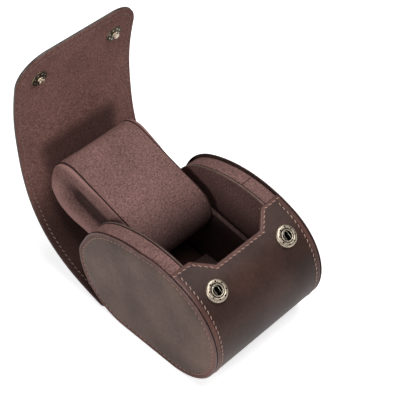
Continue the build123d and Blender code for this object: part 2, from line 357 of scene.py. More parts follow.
def end_slab(name, profile, side, materials, bands, loop=outline_loop):
    """A round-end part from (inset, x) pairs, with a material index for each band between them."""
    loops = [[(side * x, y, z) for y, z in loop(inset)] for inset, x in profile]
    points, faces, count = loft(loops, flip=side < 0)
    indices = [band for band in bands for _ in range(count)] + [bands[0], bands[-1]]
    return new_piece(name, points, faces, materials, indices)


def turned_piece(name, profile, placed, materials, bands=None, steps=48):
    """A part turned about Z from (radius, height) pairs, then placed."""
    points, faces, count = loft([circle(radius, height, steps) for radius, height in profile])
    indices = None
    if bands is not None:
        indices = [band for band in bands for _ in range(count)] + [bands[0], bands[-1]]
    piece = new_piece(name, points, faces, materials, indices)
    piece.data.transform(placed)
    return piece


def tube_piece(name, path, radius, materials, closed=False, sides=10):
    """A round wire or bead along a path of points."""
    count = len(path)
    loops = []
    previous = None
    for i, here in enumerate(path):
        ahead = path[(i + 1) % count] if closed else path[min(i + 1, count - 1)]
        behind = path[i - 1] if closed or i else path[0]
        tangent = (Vector(ahead) - Vector(behind)).normalized()
        guide = previous if previous is not None else tangent.orthogonal()
        across = (guide - tangent * guide.dot(tangent)).normalized()
        previous = across
        over = tangent.cross(across)
        loops.append([
            Vector(here) + radius * (math.cos(a) * across + math.sin(a) * over) for a in angles(sides)
        ])
    if closed:
        loops.append(loops[0])
    points, faces, _ = loft(loops, closed_ends=(not closed, not closed))
    return new_piece(name, points, faces, materials)


def inward_offsets(outline):
    """Unit inward offset of each point of a closed outline that runs anticlockwise, mitred."""
    count = len(outline)
    offsets = []
    for i in range(count):
        a, b, c = Vector(outline[i - 1]), Vector(outline[i]), Vector(outline[(i + 1) % count])
        before, after = (b - a).normalized(), (c - b).normalized()
        left = Vector((-before.y - after.y, before.x + after.x)).normalized()
        offsets.append(left / max(0.5, left.dot(Vector((-before.y, before.x)))))
    return offsets


def spaced(points, step):
    """A closed outline with extra points, so that none are further apart than step."""
    dense = []
    for here, there in zip(points, points[1:] + points[:1]):
        run = math.dist(here, there)
        count = max(1, math.ceil(run / step - 1e-6))
        dense += [
            (here[0] + (there[0] - here[0]) * i / count, here[1] + (there[1] - here[1]) * i / count)
            for i in range(count)
        ]
    return dense


def inside(points, outline):
    """Which of these points of the flat drawing lie inside a closed outline."""
    x, y = np.asarray(points, float).T[:, :, None]
    a, b = np.asarray(outline, float), np.roll(np.asarray(outline, float), -1, axis=0)
    crosses = (a[:, 1] > y) != (b[:, 1] > y)
    rise = np.where(b[:, 1] == a[:, 1], 1.0, b[:, 1] - a[:, 1])
    return (crosses & (x < (b[:, 0] - a[:, 0]) * (y - a[:, 1]) / rise + a[:, 0])).sum(axis=1) % 2 == 1


def hide_panel(outline, rim, place, step, cuts=(), split=1.0):
    """A sheet with rounded edges, drawn flat and then placed.

    rim is the edge's section, as (inset, depth) pairs from the leather face to the suede face, and
    split is the depth from which the edge is suede.
    Returns points, faces, for each face its part and its place along, and for each point its place
    on the drawing.
    """
    outline = spaced(outline, step)
    offsets = inward_offsets(outline)
    count = len(outline)
    flat, faces, parts, alongs = [], [], [], []
    for inset, depth in rim:
        flat += [(p[0] + inset * o.x, p[1] + inset * o.y, depth) for p, o in zip(outline, offsets)]
    for row in range(len(rim) - 1):
        for i in range(count):
            j = (i + 1) % count
            faces.append((row * count + i, (row + 1) * count + i, (row + 1) * count + j, row * count + j))
            flat_margin = rim[row][1] == rim[row + 1][1] == 0
            parts.append(MARGIN if flat_margin else BACK if rim[row][1] >= split else EDGE)
            alongs.append((outline[i][1] + outline[j][1]) / 2)
    for face_loop, part in ((0, FACE), (len(rim) - 1, BACK)):
        border = flat[face_loop * count:(face_loop + 1) * count]
        drawn = [Vector(p[:2]) for p in border]
        edge = [(i, (i + 1) % count) for i in range(count)]
        keep_off = step * 0.35
        border_2d = [p[:2] for p in border]
        xs = np.arange(min(p.x for p in drawn), max(p.x for p in drawn) + step, step)
        low, high = min(p.y for p in drawn), max(p.y for p in drawn)
        ys = np.linspace(low, high, max(2, round((high - low) / step)) + 1)
        ys = np.unique(np.concatenate([ys, [c for c in cuts if low < c < high]]))
        grid = np.array([(x, y) for y in ys for x in xs])
        grid = grid[inside(grid, border_2d)]
        gaps = np.linalg.norm(grid[:, None] - np.array(border_2d)[None], axis=2).min(axis=1)
        drawn += [Vector(p) for p in grid[gaps > keep_off]]
        points, _, triangles, origins, _, _ = geometry.delaunay_2d_cdt(drawn, edge, [], 0, 1e-9)
        index = []
        for k, p in enumerate(points):
            source = origins[k][0] if origins[k] else None
            if source is not None and source < count:
                index.append(face_loop * count + source)
            else:
                index.append(len(flat))
                flat.append((p.x, p.y, border[0][2]))
        centres = [sum((points[k] for k in triangle), Vector((0, 0))) / 3 for triangle in triangles]
        for triangle, centre, kept in zip(triangles, centres, inside(centres, border_2d)):
            if kept:
                corners = tuple(index[k] for k in triangle)
                faces.append(corners if part == FACE else corners[::-1])
                parts.append(part)
                alongs.append(centre.y)
    return [place(*p) for p in flat], faces, parts, alongs, [p[:2] for p in flat]


def stitch_row(seed, line, place, depth=0.0, closed=False):
    """Thread stitches along a line of the flat drawing, as points, faces and each face's place along.

    seed settles how far each stitch strays from the row's slant.
    """
    sizes = bpy.context.scene.case_sizes
    line = [Vector(p) for p in line]
    if closed:
        line.append(line[0])
    runs = [(b - a).length for a, b in zip(line, line[1:])]
    total = sum(runs)
    count = max(1, round(total / sizes.stitch_pitch))
    outward = -1 if depth <= 0 else 1
    points, faces, alongs = [], [], []
    stray = random.Random(seed)
    for k in range(count):
        distance = (k + 0.5) * total / count
        part = 0
        while part < len(runs) - 1 and distance > runs[part]:
            distance -= runs[part]
            part += 1
        direction = (line[part + 1] - line[part]).normalized()
        centre = line[part] + direction * distance
        slant = math.radians(sizes.stitch_slant + stray.uniform(-STITCH_WANDER, STITCH_WANDER))
        turned = Vector((
            direction.x * math.cos(slant) - direction.y * math.sin(slant),
            direction.x * math.sin(slant) + direction.y * math.cos(slant),
        ))
        across = Vector((-turned.y, turned.x))
        rings = []
        for share, girth, lift in STITCH_RINGS:
            middle = centre + turned * share * sizes.stitch_length
            ring = []
            for angle in angles(STITCH_SIDES):
                flat = middle + across * math.cos(angle) * girth * sizes.stitch_width / 2
                height = (lift + math.sin(angle) * girth) * sizes.stitch_width * STITCH_FLATNESS
                ring.append(place(flat.x, flat.y, depth + outward * height))
            rings.append(ring)
        stitch, stitch_faces, _ = loft(rings, (False, False), flip=outward > 0)
        join(points, faces, stitch, stitch_faces)
        alongs += [centre.y] * len(stitch_faces)
    return points, faces, alongs


# Finishes

def shader(name, roughness, metallic=0.0):
    """A new material with its shader and the case's own coordinates."""
    material = bpy.data.materials.new(name)
    material.use_nodes = True
    nodes = material.node_tree.nodes
    surface = nodes["Principled BSDF"]
    surface.inputs["Roughness"].default_value = roughness
    surface.inputs["Metallic"].default_value = metallic
    place = nodes.new("ShaderNodeTexCoord")
    return material, nodes, material.node_tree.links, surface, place.outputs["Object"]


def mottle(nodes, links, coordinates, scale, detail=3.0):
    """A noise of this many blotches per metre, as a socket from 0 to 1."""
    texture = nodes.new("ShaderNodeTexNoise")
    texture.inputs["Scale"].default_value = scale
    texture.inputs["Detail"].default_value = detail
    links.new(coordinates, texture.inputs["Vector"])
    return texture.outputs["Fac"]


def ramp(nodes, links, value, stops):
    """A colour ramp over a value, from (place, colour) stops."""
    node = nodes.new("ShaderNodeValToRGB")
    elements = node.color_ramp.elements
    elements[0].position, elements[0].color = stops[0][0], (*stops[0][1], 1)
    elements[1].position, elements[1].color = stops[-1][0], (*stops[-1][1], 1)
    for place, colour in stops[1:-1]:
        element = elements.new(place)
        element.color = (*colour, 1)
    links.new(value, node.inputs["Fac"])
    return node.outputs["Color"]


def blend_colours(nodes, links, share, first, second, mode="MIX"):
    """Mix two colours, each a socket or a colour, by a share."""
    node = nodes.new("ShaderNodeMix")
    node.data_type = "RGBA"
    node.blend_type = mode
    a, b, result = node.inputs[6], node.inputs[7], node.outputs[2]
    for value, socket in ((share, node.inputs[0]), (first, a), (second, b)):
        if isinstance(value, bpy.types.NodeSocket):
            links.new(value, socket)
        elif isinstance(value, (int, float)):
            socket.default_value = value
        else:
            socket.default_value = (*value, 1)
    return result


def relief(nodes, links, surface, layers):
    """Stack bumps on a surface, from (height socket, depth in metres, strength)."""
    normal = None
    for height, depth, strength in layers:
        bump = nodes.new("ShaderNodeBump")
        bump.inputs["Distance"].default_value = depth
        bump.inputs["Strength"].default_value = strength
        links.new(height, bump.inputs["Height"])
        if normal is not None:
            links.new(normal, bump.inputs["Normal"])
        normal = bump.outputs["Normal"]
    links.new(normal, surface.inputs["Normal"])


def shade_of(colour, factor):
    """A colour made lighter or darker."""
    return tuple(min(1.0, c * factor) for c in colour)


def spread(nodes, links, value, low, high):
    """A value from 0 to 1 spread between low and high."""
    node = nodes.new("ShaderNodeMapRange")
    node.inputs["To Min"].default_value = low
    node.inputs["To Max"].default_value = high
    links.new(value, node.inputs["Value"])
    return node.outputs["Result"]


def pull_up_leather(name, colour, gloss=0.25):
    """Waxed leather: a fine pebble grain, pores, and paler and darker clouds."""
    material, nodes, links, surface, place = shader(name, 0.5)
    clouds = mottle(nodes, links, place, 34.0, 4.0)
    base = ramp(nodes, links, clouds, [
        (0.32, shade_of(colour, 0.66)), (0.50, colour), (0.68, shade_of(colour, 1.40)),
    ])
    rub = mottle(nodes, links, place, 420.0, 5.0)
    flecks = ramp(nodes, links, rub, [(0.35, (0.86, 0.84, 0.83)), (0.65, (1.08, 1.07, 1.06))])
    links.new(blend_colours(nodes, links, 1.0, base, flecks, "MULTIPLY"), surface.inputs["Base Color"])
    links.new(spread(nodes, links, clouds, 0.58, 0.42), surface.inputs["Roughness"])
    surface.inputs["Specular IOR Level"].default_value = gloss
    grain = nodes.new("ShaderNodeTexVoronoi")
    grain.inputs["Scale"].default_value = 1500.0
    links.new(place, grain.inputs["Vector"])
    relief(nodes, links, surface, [
        (mottle(nodes, links, place, 90.0, 3.0), 0.0006, 0.10),
        (grain.outputs["Distance"], 0.00012, 0.35),
        (mottle(nodes, links, place, 3200.0, 3.0), 0.00005, 0.30),
    ])
    return material


def burnished_edge(name, colour):
    """A cut leather edge, rubbed to a red-brown polish."""
    material, nodes, links, surface, place = shader(name, 0.42)
    streaks = mottle(nodes, links, place, 260.0, 4.0)
    links.new(
        ramp(nodes, links, streaks, [(0.3, shade_of(colour, 0.72)), (0.7, shade_of(colour, 1.25))]),
        surface.inputs["Base Color"],
    )
    relief(nodes, links, surface, [(mottle(nodes, links, place, 1200.0, 3.0), 0.00008, 0.4)])
    return material


def suede(name, colour, painted_tone=False):
    """Suede: a short nap that speckles, brushed into paler and darker patches.

    With painted_tone, the suede is darker where its piece's hollow attribute says and paler where rubbed
    does: painted shade and painted light.
    """
    material, nodes, links, surface, place = shader(name, 1.0)
    brushed = mottle(nodes, links, place, 42.0, 3.0)
    base = ramp(nodes, links, brushed, [
        (0.32, shade_of(colour, 0.88)), (0.68, shade_of(colour, 1.10)),
    ])
    fibres = mottle(nodes, links, place, 1100.0, 2.0)
    speckle = ramp(nodes, links, fibres, [
        (0.30, (0.58, 0.57, 0.57)), (0.50, (0.98, 0.98, 0.98)), (0.70, (1.42, 1.41, 1.40)),
    ])
    tone = blend_colours(nodes, links, 1.0, base, speckle, "MULTIPLY")
    if painted_tone:
        # Painted shade darkens the colour, and painted light makes it paler
        for attribute, factor in (("hollow", 0.10), ("rubbed", 1.7)):
            share = nodes.new("ShaderNodeAttribute")
            share.attribute_name = attribute
            tone = blend_colours(nodes, links, share.outputs["Fac"], tone, shade_of(colour, factor))
    links.new(tone, surface.inputs["Base Color"])
    surface.inputs["Specular IOR Level"].default_value = 0.12
    surface.inputs["Sheen Weight"].default_value = 0.03
    surface.inputs["Sheen Roughness"].default_value = 0.45
    surface.inputs["Sheen Tint"].default_value = (*shade_of(colour, 2.0), 1)
    relief(nodes, links, surface, [
        (mottle(nodes, links, place, 1500.0, 3.0), 0.00022, 0.45),
    ])
    return material


def waxed_thread(name, colour):
    """Waxed linen thread, with its twist."""
    material, nodes, links, surface, place = shader(name, 0.6)
    tone = mottle(nodes, links, place, 700.0, 2.0)
    links.new(
        ramp(nodes, links, tone, [(0.3, shade_of(colour, 0.78)), (0.7, shade_of(colour, 1.15))]),
        surface.inputs["Base Color"],
    )
    relief(nodes, links, surface, [(mottle(nodes, links, place, 4200.0, 1.0), 0.00012, 0.6)])
    return material


def aged_metal(name, colour, roughness, tarnish):
    """Plated metal with tarnish in small patches."""
    material, nodes, links, surface, place = shader(name, roughness, 1.0)
    patches = mottle(nodes, links, place, 900.0, 4.0)
    links.new(
        ramp(nodes, links, patches, [(0.38, shade_of(colour, tarnish)), (0.60, colour)]),
        surface.inputs["Base Color"],
    )
    links.new(spread(nodes, links, patches, roughness + 0.15, roughness - 0.05), surface.inputs["Roughness"])
    relief(nodes, links, surface, [(mottle(nodes, links, place, 1600.0, 2.0), 0.00005, 0.25)])
    return material


def pressed_board(name, colour):
    """Fibreboard or foam that only shows from inside."""
    material, nodes, links, surface, place = shader(name, 0.9)
    links.new(
        ramp(nodes, links, mottle(nodes, links, place, 600.0, 4.0), [
            (0.3, shade_of(colour, 0.8)), (0.7, shade_of(colour, 1.1)),
        ]),
        surface.inputs["Base Color"],
    )
    relief(nodes, links, surface, [(mottle(nodes, links, place, 900.0, 3.0), 0.0002, 0.3)])
    return material


SPRING_COLOUR, BOARD_COLOUR, FOAM_COLOUR = (0.50, 0.46, 0.38), (0.42, 0.33, 0.24), (0.70, 0.67, 0.60)

# Each finish's maker, its colour or the setting that holds it, how much lighter or darker than that
# the finish is, and what else its maker takes
FINISHES = {
    "case_leather": (pull_up_leather, "leather", 1.0, {}),
    "end_leather": (pull_up_leather, "end_leather", 1.0, {}),
    "rim_leather": (pull_up_leather, "rim", 1.0, {"gloss": 0.16}),
    "piping": (pull_up_leather, "piping", 1.0, {}),
    "edge": (burnished_edge, "edge", 1.0, {}),
    "flap_edge": (burnished_edge, "flap_edge", 1.0, {}),
    "suede": (suede, "suede", 1.0, {}),
    "pillow_suede": (suede, "suede", 1.0, {"painted_tone": True}),
    "seam_shade": (suede, "suede", 0.16, {}),
    "panel_suede": (suede, "panel_suede", 1.0, {}),
    "lining_suede": (suede, "lining_suede", 1.0, {}),
    "cradle_suede": (suede, "cradle_suede", 1.0, {}),
    "flap_suede": (suede, "flap_suede", 1.0, {"painted_tone": True}),
    "thread": (waxed_thread, "thread", 1.0, {}),
    "end_thread": (waxed_thread, "thread", 0.78, {}),
    "rubbed_thread": (waxed_thread, "thread", 0.52, {}),
    "socket_metal": (aged_metal, "socket_metal", 1.0, {"roughness": 0.42, "tarnish": 0.62}),
    "stud_metal": (aged_metal, "stud_metal", 1.0, {"roughness": 0.38, "tarnish": 0.45}),
    "ball_metal": (aged_metal, "socket_metal", 1.15, {"roughness": 0.30, "tarnish": 0.8}),
    # Near black: painted shade in the sockets' bores, grooves and posts, and the colour of the sockets' dots
    "bore_metal": (aged_metal, "stud_metal", 0.02, {"roughness": 0.8, "tarnish": 0.5}),
    "dark_metal": (aged_metal, "stud_metal", 0.35, {"roughness": 0.5, "tarnish": 0.5}),
    "spring_steel": (aged_metal, SPRING_COLOUR, 1.0, {"roughness": 0.35, "tarnish": 0.6}),
    "board": (pressed_board, BOARD_COLOUR, 1.0, {}),
    "foam": (pressed_board, FOAM_COLOUR, 1.0, {}),
}


def finish(look):
    """One of the case's finishes, made the first time that it is asked for."""
    name = f"{look}_finish"
    found = bpy.data.materials.get(name)
    if found is not None:
        return found
    maker, colour, factor, extra = FINISHES[look]
    if isinstance(colour, str):
        colour = tuple(getattr(bpy.context.scene.case_colours, colour))
    return maker(name, shade_of(colour, factor), **extra)


def dress_node(node, look):
    """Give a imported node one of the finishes."""
    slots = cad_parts[node].data.materials
    slots.clear()
    slots.append(finish(look))


def soften_edges(node, width):
    """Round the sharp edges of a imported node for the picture."""
    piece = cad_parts[node]
    weld = piece.modifiers.new("join", "WELD")
    weld.merge_threshold = 0.00001
    bevel = piece.modifiers.new("soften", "BEVEL")
    bevel.width = width
    bevel.segments = 3
    bevel.limit_method = "ANGLE"
    bevel.angle_limit = math.radians(40)
    bevel.harden_normals = True


# Sizes and colours

class CaseSizes(bpy.types.PropertyGroup):
    stitch_pitch: bpy.props.FloatProperty(
        name="Stitch pitch", description="From one stitch to the next",
        default=0.0030, unit="LENGTH", precision=5,
    )
    stitch_length: bpy.props.FloatProperty(
        name="Stitch length", description="Thread that shows at each stitch",
        default=0.0021, unit="LENGTH", precision=5,
    )
    stitch_width: bpy.props.FloatProperty(
        name="Thread width", description="Width of the waxed thread",
        default=0.00052, unit="LENGTH", precision=5,
    )
    stitch_slant: bpy.props.FloatProperty(
        name="Stitch slant", description="Lean of each stitch from the row, in degrees",
        default=16.0,
    )
    stitch_margin: bpy.props.FloatProperty(
        name="Stitch margin", description="From the edge to the row of stitches",
        default=0.0030, unit="LENGTH", precision=5,
    )
    notch_margin: bpy.props.FloatProperty(
        name="Notch margin", description="From the front edge to its row of stitches",
        default=0.0022, unit="LENGTH", precision=5,
    )
    groove_depth: bpy.props.FloatProperty(
        name="Groove depth", description="How far the leather sinks at a row of stitches",
        default=0.00015, unit="LENGTH", precision=5,
    )


class CaseColours(bpy.types.PropertyGroup):
    leather: bpy.props.FloatVectorProperty(
        name="Leather", description="Body and flap leather",
        subtype="COLOR", size=3, default=(0.050, 0.0240, 0.0190),
    )
    end_leather: bpy.props.FloatVectorProperty(
        name="End leather", description="Leather of the round ends",
        subtype="COLOR", size=3, default=(0.103, 0.061, 0.047),
    )
    rim: bpy.props.FloatVectorProperty(
        name="Rim leather", description="Leather outside the stitches of the round ends",
        subtype="COLOR", size=3, default=(0.125, 0.060, 0.049),
    )
    edge: bpy.props.FloatVectorProperty(
        name="Burnished edge", description="Cut leather edges",
        subtype="COLOR", size=3, default=(0.110, 0.052, 0.044),
    )
    flap_edge: bpy.props.FloatVectorProperty(
        name="Flap edge", description="Cut edge of the flap",
        subtype="COLOR", size=3, default=(0.062, 0.040, 0.034),
    )
    suede: bpy.props.FloatVectorProperty(
        name="Suede", description="Pillow and round ends",
        subtype="COLOR", size=3, default=(0.200, 0.110, 0.100),
    )
    lining_suede: bpy.props.FloatVectorProperty(
        name="Lining suede", description="Inside of the case",
        subtype="COLOR", size=3, default=(0.060, 0.034, 0.031),
    )
    panel_suede: bpy.props.FloatVectorProperty(
        name="Panel suede", description="Inner panels of the round ends",
        subtype="COLOR", size=3, default=(0.140, 0.077, 0.070),
    )
    piping: bpy.props.FloatVectorProperty(
        name="Piping", description="Folded edge of the inner panels",
        subtype="COLOR", size=3, default=(0.150, 0.105, 0.088),
    )
    cradle_suede: bpy.props.FloatVectorProperty(
        name="Cradle suede", description="Floor and walls of the cradle",
        subtype="COLOR", size=3, default=(0.085, 0.050, 0.045),
    )
    # Lighter than the pillow's suede, as painted light for the flap's inside, which gets less lamp light
    flap_suede: bpy.props.FloatVectorProperty(
        name="Flap suede", description="Inside of the flap",
        subtype="COLOR", size=3, default=(0.262, 0.132, 0.114),
    )
    thread: bpy.props.FloatVectorProperty(
        name="Thread", description="Waxed thread",
        subtype="COLOR", size=3, default=(0.465, 0.290, 0.232),
    )
    socket_metal: bpy.props.FloatVectorProperty(
        name="Socket metal", description="Sockets on the front",
        subtype="COLOR", size=3, default=(0.68, 0.58, 0.46),
    )
    stud_metal: bpy.props.FloatVectorProperty(
        name="Stud metal", description="Studs and caps on the flap",
        subtype="COLOR", size=3, default=(0.27, 0.22, 0.155),
    )


# Operators: one for each piece or group of like pieces

class CASE_OT_stage(bpy.types.Operator):
    """Set up the camera, the pale floor and the soft light"""

    bl_idname = "case.stage"
    bl_label = "Stage"

    camera_place = (-0.31352, -0.30732, 0.53581)
    camera_right = (0.701197, -0.712965, 0.001843)
    camera_up = (0.511384, 0.504740, 0.695503)
    lens, sensor, near = 112.886, 36.0, 0.05
    # Name, place, aim, diameter and power of each round lamp
    lamps = (
        ("top", (0.15, -0.15, 1.00), (0, 0.03, 0.05), 0.80, 8.6),
        ("side", (-0.75, -0.10, 0.35), (0, 0, 0.04), 0.40, 2.7),
        ("front", (0.10, -0.90, 0.50), (0, 0, 0.03), 0.80, 0.35),
    )
    room_light, white = 0.08, 1.0
    floor_half, floor_drop = 4.0, 0.0002
    paper = (0.86, 0.86, 0.86)
    paper_glow = (("Is Camera Ray", 0.70), ("Is Glossy Ray", 0.36))

    def execute(self, context):
        scene = context.scene
        scene.view_settings.view_transform = "Standard"
        right, up = Vector(self.camera_right), Vector(self.camera_up)
        lens = bpy.data.cameras.new("camera")
        lens.sensor_width = self.sensor
        lens.lens = self.lens
        lens.clip_start = self.near
        camera = bpy.data.objects.new("camera", lens)
        camera.matrix_world = Matrix((right, up, right.cross(up))).transposed().to_4x4()
        camera.matrix_world.translation = Vector(self.camera_place)
        scene.collection.objects.link(camera)
        scene.camera = camera

        for name, place, aim, size, power in self.lamps:
            lamp = bpy.data.lights.new(name, "AREA")
            lamp.shape = "DISK"
            lamp.size = size
            lamp.energy = power
            light = bpy.data.objects.new(name, lamp)
            light.location = place
            light.rotation_euler = (Vector(place) - Vector(aim)).to_track_quat("Z", "Y").to_euler()
            scene.collection.objects.link(light)
        scene.world = self.room()

        half = self.floor_half
        corners = [(-half, -half, 0), (half, -half, 0), (half, half, 0), (-half, half, 0)]
        floor = new_piece("floor", corners, [(0, 1, 2, 3)], [self.floor_finish()], flat=True)
        floor.location.z = -self.floor_drop
        return {"FINISHED"}

    def room(self):
        """A dim even light from all sides, which the camera sees as white."""
        world = bpy.data.worlds.new("room")
        world.use_nodes = True
        nodes, links = world.node_tree.nodes, world.node_tree.links
        sky = nodes["Background"]
        sky.inputs["Color"].default_value = (1, 1, 1, 1)
        seen = nodes.new("ShaderNodeLightPath").outputs["Is Camera Ray"]
        links.new(spread(nodes, links, seen, self.room_light, self.white), sky.inputs["Strength"])
        return world

    def floor_finish(self):
        """White paper: it takes the case's shadow, and shows white to the camera elsewhere."""
        material, nodes, links, surface, _ = shader("paper", 0.9)
        surface.inputs["Base Color"].default_value = (*self.paper, 1)
        surface.inputs["Specular IOR Level"].default_value = 0.1
        glow = nodes.new("ShaderNodeEmission")
        seen = nodes.new("ShaderNodeLightPath")
        brighter = nodes.new("ShaderNodeMath")
        brighter.operation = "MAXIMUM"
        for number, (ray, strength) in enumerate(self.paper_glow):
            links.new(spread(nodes, links, seen.outputs[ray], 0.0, strength), brighter.inputs[number])
        both = nodes.new("ShaderNodeAddShader")
        links.new(brighter.outputs["Value"], glow.inputs["Strength"])
        links.new(surface.outputs["BSDF"], both.inputs[0])
        links.new(glow.outputs["Emission"], both.inputs[1])
        links.new(both.outputs["Shader"], nodes["Material Output"].inputs["Surface"])
        return material


class CASE_OT_round_ends(bpy.types.Operator):
    """Make the stitched leather discs, the suede collars and the inner panels"""

    bl_idname = "case.round_ends"
    bl_label = "Round ends"

    # The disc's section as (inset, rise): its back, from which its edge starts, the edge's front, and
    # its face inside the stitches. Each band of the section has one of the disc's three finishes.
    back_edge = ((0.0040, 0), (0.0011, 0), (0.0005, 0.00010), (0.00012, 0.00025), (0, 0.0004))
    front_edge = ((0, -0.0004), (0.00010, -0.0002), (0.00035, -0.00005), (0.0008, 0))
    crown = ((0.0080, 0.00020), (0.0160, 0.00032), (0.0240, 0.00040), (0.0300, 0.00042))
    # Across the row of stitches, as (distance from it, whether the leather is sunk there)
    groove = ((-0.0008, False), (-0.0003, True), (0.0003, True), (0.0009, False))
    shoulder = 0.00005
    section_looks = (0, 1, 1, 1, 1, 1, 1, 1, 2, 2, 2, 0, 0, 0, 0, 0)
    stitch_line_step = 0.0008
    lap_inner = 0.0040
    # Where the right collar's suede is butted together, as a heading on the outline's front half
    joint_heading = 179.6
    joint_radius = 0.00022

    def execute(self, context):
        for name, side in SIDES:
            self.disc(name, side, context.scene.case_sizes)
            dress_node(f"{name}_collar", "suede")
            dress_node(f"{name}_inner_panel", "panel_suede")
            soften_edges(f"{name}_inner_panel", 0.0005)
            dress_node(f"{name}_end_core", "board")
            self.lap(name, side)
            self.beads(name, side)
        self.collar_joint()
        return {"FINISHED"}

    def disc(self, name, side, sizes):
        """The leather disc, sunk a little along its row of stitches, and the stitches."""
        margin, sunk = sizes.stitch_margin, HALF_WIDTH - sizes.groove_depth
        raised = HALF_WIDTH + self.shoulder
        profile = [
            *((inset, DISC_BACK + rise) for inset, rise in self.back_edge),
            *((inset, HALF_WIDTH + rise) for inset, rise in self.front_edge),
            *((margin + offset, sunk if low else raised) for offset, low in self.groove),
            *((inset, HALF_WIDTH + rise) for inset, rise in self.crown),
        ]
        disc = end_slab(
            f"{name}_disc", profile, side,
            [finish("end_leather"), finish("edge"), finish("rim_leather")], self.section_looks,
            lambda inset: disc_loop(inset, side),
        )
        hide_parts(f"{name}_end_disc")
        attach(disc, "case")

        points, faces, _ = stitch_row(
            f"{name}_disc", disc_loop(margin, side, self.stitch_line_step),
            lambda y, z, depth: Vector((side * (sunk - depth), y, z)), closed=True,
        )
        if side > 0:
            faces = [face[::-1] for face in faces]
        stitches = new_piece(f"{name}_disc_stitches", points, faces, [finish("end_thread")])
        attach(stitches, "case")

    def lap(self, name, side):
        """The collar's suede where it laps over the edge of the board, under the disc."""
        lap = end_slab(f"{name}_collar_lap", [
            (self.lap_inner, DISC_INNER), (COLLAR_STEP, DISC_INNER - 0.0001),
            (COLLAR_STEP, DISC_BACK - 0.0003), (COLLAR_STEP + 0.0002, DISC_BACK - 0.0001),
            (self.lap_inner, DISC_BACK - 0.0001),
        ], side, [finish("suede")], [0, 0, 0, 0])
        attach(lap, "case")

    def beads(self, name, side):
        """The dark lines of painted shade in the seams beside the disc and the inner panel, and the panel's
        piping.
        """
        for label, x, ring, radius, look in (
            ("disc_gap", DISC_BACK - 0.0001, outline_loop(COLLAR_STEP + 0.0001), 0.00034, "seam_shade"),
            ("disc_seam", DISC_BACK - 0.00005, disc_loop(0.00055, side), 0.00048, "seam_shade"),
            ("panel_gap", PANEL_EDGE, outline_loop(COLLAR_STEP - 0.00004), 0.00030, "seam_shade"),
            ("panel_piping", PANEL_EDGE - 0.00062, outline_loop(COLLAR_STEP - 0.0001), 0.00034, "piping"),
        ):
            path = [(side * x, y, z) for y, z in ring]
            bead = tube_piece(f"{name}_{label}", path, radius, [finish(look)], closed=True)
            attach(bead, "case")

    def collar_joint(self):
        """The butt joint in the right collar's suede, a little behind the strip's corner."""
        y, z = outline_point(self.joint_heading, COLLAR_STEP, -1)
        path = [(x, y, z) for x in np.linspace(PANEL_EDGE + 0.0003, DISC_BACK - 0.0006, 6)]
        joint = tube_piece("right_collar_joint", path, self.joint_radius, [finish("seam_shade")])
        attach(joint, "case")


def strip_distance(y):
    """Distance down the strip, from its front edge, of a point that far back on the top arc."""
    return TOP_RADIUS * (math.asin(-y / TOP_RADIUS) - math.asin(-FRONT_EDGE_Y / TOP_RADIUS))


def front_edge_line():
    """The front edge of the strip from right to left, with its notch, on the flat drawing."""
    half = [(STRIP_EDGE, 0.0), (NOTCH_TOP[0], strip_distance(NOTCH_TOP[1])),
            (NOTCH_BASE[0], strip_distance(NOTCH_BASE[1]))]
    return half + [(-x, s) for x, s in reversed(half)]


def inset_line(line, inset):
    """An open line of the flat drawing moved by inset to its left."""
    moved = []
    for i, here in enumerate(line):
        before = Vector(here) - Vector(line[i - 1]) if i else Vector(line[1]) - Vector(here)
        after = Vector(line[i + 1]) - Vector(here) if i < len(line) - 1 else before
        before, after = before.normalized(), after.normalized()
        left = Vector((-before.y - after.y, before.x + after.x)).normalized()
        moved.append(tuple(Vector(here) + left * inset / left.dot(Vector((-before.y, before.x)))))
    return moved


class CASE_OT_body_strip(bpy.types.Operator):
    """Make the leather and suede strip with its notched front edge, and its rows of stitches"""

    bl_idname = "case.body_strip"
    bl_label = "Body strip"

    # The edge's section, as (inset, depth) from the margin on the leather face to the lining
    rim = (
        (0.0024, 0), (0.0009, 0), (0.00045, 0.00012), (0.00012, 0.0004), (0, 0.0009), (0, 0.0022),
        (0.00006, 0.0026), (0.0003, 0.0028), (0.0007, 0.0029),
    )
    # Near the fold the margin looks like the face
    plain_end = 0.003
    row_inset = 0.0004
    row_start, row_end = 0.001, 0.001

    def execute(self, context):
        sizes = context.scene.case_sizes
        edge = front_edge_line()
        outline = [*reversed(edge), (STRIP_EDGE, STRIP_LENGTH), (-STRIP_EDGE, STRIP_LENGTH)]
        points, faces, parts, alongs, _ = hide_panel(outline, self.rim, place_on_strip, DRAWING_STEP)
        margin_end = STRIP_LENGTH - self.plain_end
        parts = [
            FACE if part == MARGIN and along > margin_end else part for part, along in zip(parts, alongs)
        ]
        looks = [finish("case_leather"), finish("edge"), finish("lining_suede"), finish("rim_leather")]
        strip = new_piece("body_strip", points, faces, looks, parts)
        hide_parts("body_leather")
        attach(strip, "case")
        dress_node("body_board", "board")
        dress_node("body_lining", "lining_suede")

        margin = sizes.stitch_margin
        rows = [inset_line(edge, -sizes.notch_margin)]
        for side in (-1, 1):
            x = side * (STRIP_HALF - margin + self.row_inset)
            rows.append([(x, margin + self.row_start), (x, STRIP_LENGTH - self.row_end)])
        points, faces = [], []
        for number, row in enumerate(rows):
            more, more_faces, _ = stitch_row(f"strip_{number}", row, place_on_strip)
            join(points, faces, more, more_faces)
        stitches = new_piece("body_stitches", points, faces, [finish("thread")])
        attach(stitches, "case")
        return {"FINISHED"}


